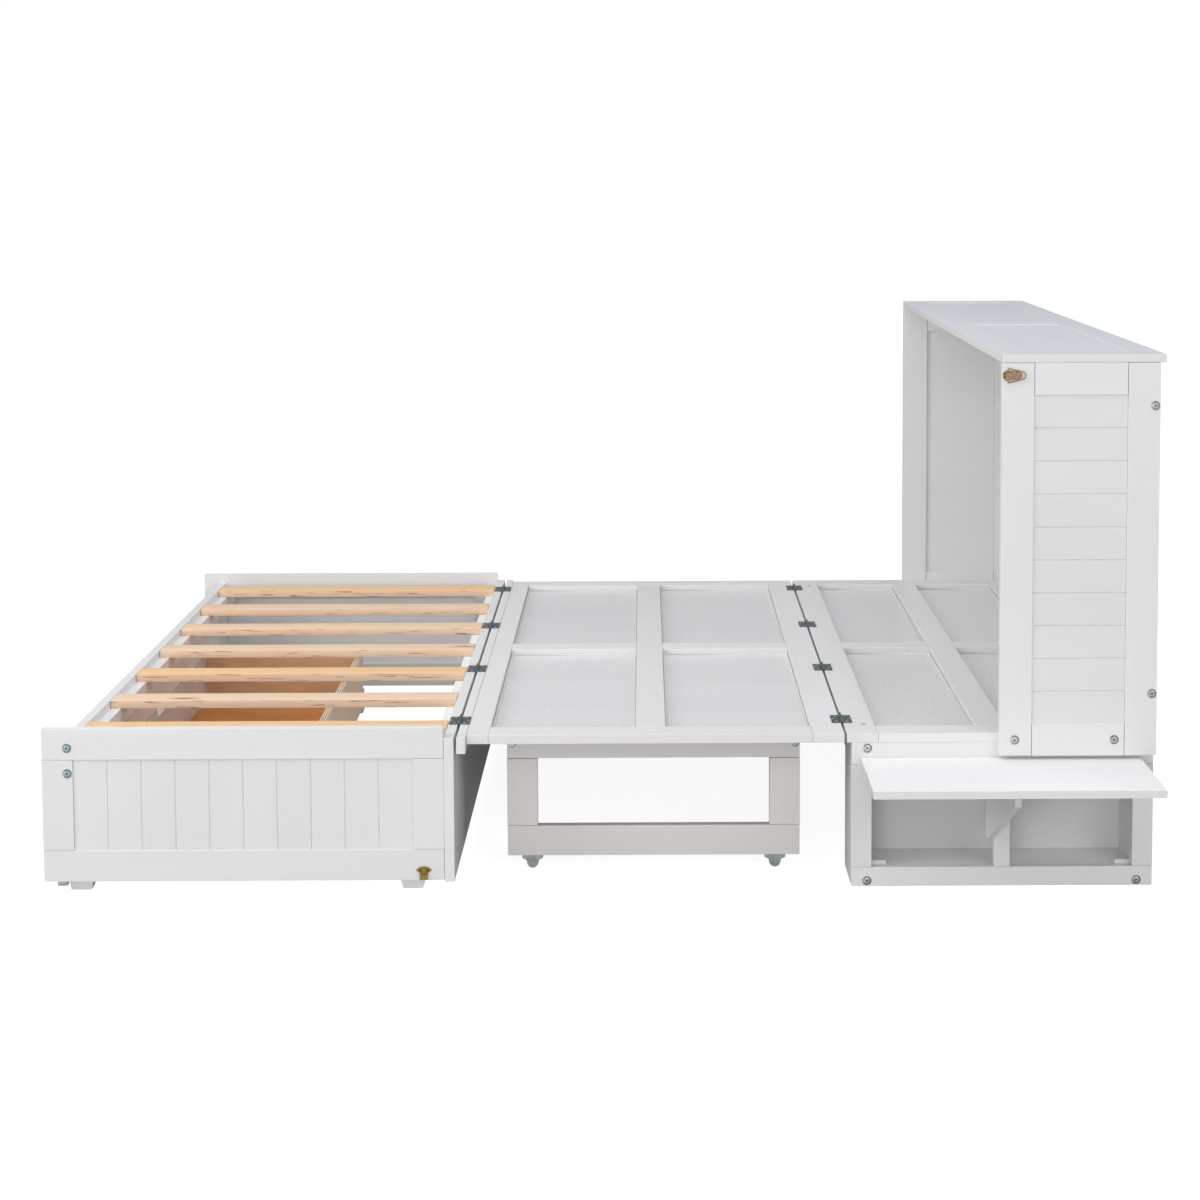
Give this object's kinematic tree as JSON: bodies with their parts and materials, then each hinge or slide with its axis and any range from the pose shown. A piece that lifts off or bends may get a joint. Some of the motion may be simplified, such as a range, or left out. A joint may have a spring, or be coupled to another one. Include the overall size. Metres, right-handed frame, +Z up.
{
  "type": "wall bed",
  "caption": "White painted cabinet bed, unfolded: slatted foot box with drawer, framed folding deck on leg frames, open shell at the head with side shelf flaps.",
  "frame": {"origin": "middle of the outline on the floor, with the near flap open", "axes": "+X from the foot to the head, +Y from the near long side to the far one, +Z up"},
  "size_m": [1.9582, 1.6272, 0.942],
  "materials": {
    "white_paint": "satin white paint on solid pine and birch board",
    "panel_paint": "satin white paint on recessed panels",
    "pine": "bare planed pine with knots",
    "birch_ply": "bare plywood with layered edges",
    "hardboard": "bare brown hardboard",
    "bright_zinc": "bright zinc plated",
    "blue_zinc": "dark blue-grey zinc plated",
    "yellow_zinc": "yellow passivated zinc",
    "grey_nylon": "moulded grey nylon",
    "grey_rubber": "ribbed grey rubber"
  },
  "bodies": {
    "head": {"base_side_frame_near": "white_paint", "base_side_frame_far": "white_paint", "base_end_boards": "white_paint", "shelf_backs": "panel_paint", "shelf_floors": "panel_paint", "corner_blocks": "white_paint", "base_cross_rails": "white_paint", "head_slab_frame": "white_paint", "head_slab_panels": "panel_paint", "shell_side_near": "white_paint", "shell_side_far": "white_paint", "shell_side_planks": "panel_paint", "shell_back": "white_paint", "shell_top": "white_paint", "head_bolts": "bright_zinc", "head_fold_leaves": "blue_zinc", "shelf_hinge_leaves": "bright_zinc", "latch_plates": "yellow_zinc", "flap_near": "white_paint", "bracket_far": "white_paint"},
    "mid": {"mid_slab_frame": "white_paint", "mid_slab_panels": "panel_paint", "hinge_rail": "white_paint", "leg_carrier": "white_paint", "mid_bolts": "bright_zinc", "mid_fold_leaves": "blue_zinc", "leg_hinge_top_leaves": "blue_zinc"},
    "leg_near": {"leg_frame_near": "white_paint", "caster_forks_near": "bright_zinc", "leg_hinge_leaves_near": "blue_zinc"},
    "leg_far": {"leg_frame_far": "white_paint", "caster_forks_far": "bright_zinc", "leg_hinge_leaves_far": "blue_zinc"},
    "wheel_near_foot": {"caster_wheel_near_foot": "grey_nylon"},
    "wheel_near_head": {"caster_wheel_near_head": "grey_nylon"},
    "wheel_far_foot": {"caster_wheel_far_foot": "grey_nylon"},
    "wheel_far_head": {"caster_wheel_far_head": "grey_nylon"},
    "foot": {"foot_side_near": "white_paint", "foot_side_far": "white_paint", "foot_side_planks": "panel_paint", "foot_hinge_board": "white_paint", "foot_end_frame": "white_paint", "slat_ledgers": "white_paint", "slats": "pine", "block_feet": "white_paint", "bumper_glides": "grey_rubber", "foot_bolts": "bright_zinc", "foot_fold_leaves": "blue_zinc", "catches": "yellow_zinc", "drawer_runners": "white_paint"},
    "drawer": {"drawer_front": "white_paint", "drawer_box": "birch_ply", "drawer_bottom": "hardboard"},
    "flap_far_body": {"flap_far": "white_paint"},
    "bracket_near_body": {"bracket_near": "white_paint"},
    "lever_near": {"latch_lever_near": "yellow_zinc"},
    "lever_far": {"latch_lever_far": "yellow_zinc"},
    "bail_near": {"latch_bail_near": "yellow_zinc"},
    "bail_far": {"latch_bail_far": "yellow_zinc"}
  },
  "joints": [
    {"name": "mid_fold", "type": "hinge", "parent": "head", "child": "mid", "pos_m": [0.42835, 0.0924, 0.277], "axis": [0, 1, 0], "range_deg": [0, 90]},
    {"name": "foot_fold", "type": "hinge", "parent": "mid", "child": "foot", "pos_m": [-0.25665, 0.0924, 0.277], "axis": [0, 1, 0], "range_deg": [0, 180]},
    {"name": "drawer_slide", "type": "slide", "parent": "foot", "child": "drawer", "axis": [1, 0, 0], "range_m": [-0.3, 0]},
    {"name": "leg_near_fold", "type": "hinge", "parent": "mid", "child": "leg_near", "pos_m": [0.09085, -0.4781, 0.2025], "axis": [1, 0, 0], "range_deg": [0, 90]},
    {"name": "leg_far_fold", "type": "hinge", "parent": "mid", "child": "leg_far", "pos_m": [0.09085, 0.6629, 0.2025], "axis": [-1, 0, 0], "range_deg": [0, 90]},
    {"name": "wheel_near_foot_spin", "type": "hinge", "parent": "leg_near", "child": "wheel_near_foot", "pos_m": [-0.12865, -0.4906, 0.0105], "axis": [0, 1, 0], "continuous": true},
    {"name": "wheel_near_head_spin", "type": "hinge", "parent": "leg_near", "child": "wheel_near_head", "pos_m": [0.31035, -0.4906, 0.0105], "axis": [0, 1, 0], "continuous": true},
    {"name": "wheel_far_foot_spin", "type": "hinge", "parent": "leg_far", "child": "wheel_far_foot", "pos_m": [-0.12865, 0.6754, 0.0105], "axis": [0, 1, 0], "continuous": true},
    {"name": "wheel_far_head_spin", "type": "hinge", "parent": "leg_far", "child": "wheel_far_head", "pos_m": [0.31035, 0.6754, 0.0105], "axis": [0, 1, 0], "continuous": true},
    {"name": "flap_far_lift", "type": "hinge", "parent": "head", "child": "flap_far_body", "pos_m": [0.69925, 0.7904, 0.2145], "axis": [1, 0, 0], "range_deg": [0, 90]},
    {"name": "bracket_near_swing", "type": "hinge", "parent": "head", "child": "bracket_near_body", "pos_m": [0.68615, -0.6036, 0.153], "axis": [0, 0, -1], "range_deg": [0, 98.5]},
    {"name": "latch_lever_near_turn", "type": "hinge", "parent": "head", "child": "lever_near", "pos_m": [0.70135, -0.6266, 0.90575], "axis": [0, 0, -1], "range_deg": [0, 100]},
    {"name": "latch_bail_near_swing", "type": "hinge", "parent": "lever_near", "child": "bail_near", "pos_m": [0.70495, -0.6268, 0.90575], "axis": [0, 0, 1], "range_deg": [-182, 0]},
    {"name": "latch_lever_far_turn", "type": "hinge", "parent": "head", "child": "lever_far", "pos_m": [0.70135, 0.8114, 0.90575], "axis": [0, 0, 1], "range_deg": [0, 100]},
    {"name": "latch_bail_far_swing", "type": "hinge", "parent": "lever_far", "child": "bail_far", "pos_m": [0.70495, 0.8116, 0.90575], "axis": [0, 0, -1], "range_deg": [-182, 0]}
  ]
}
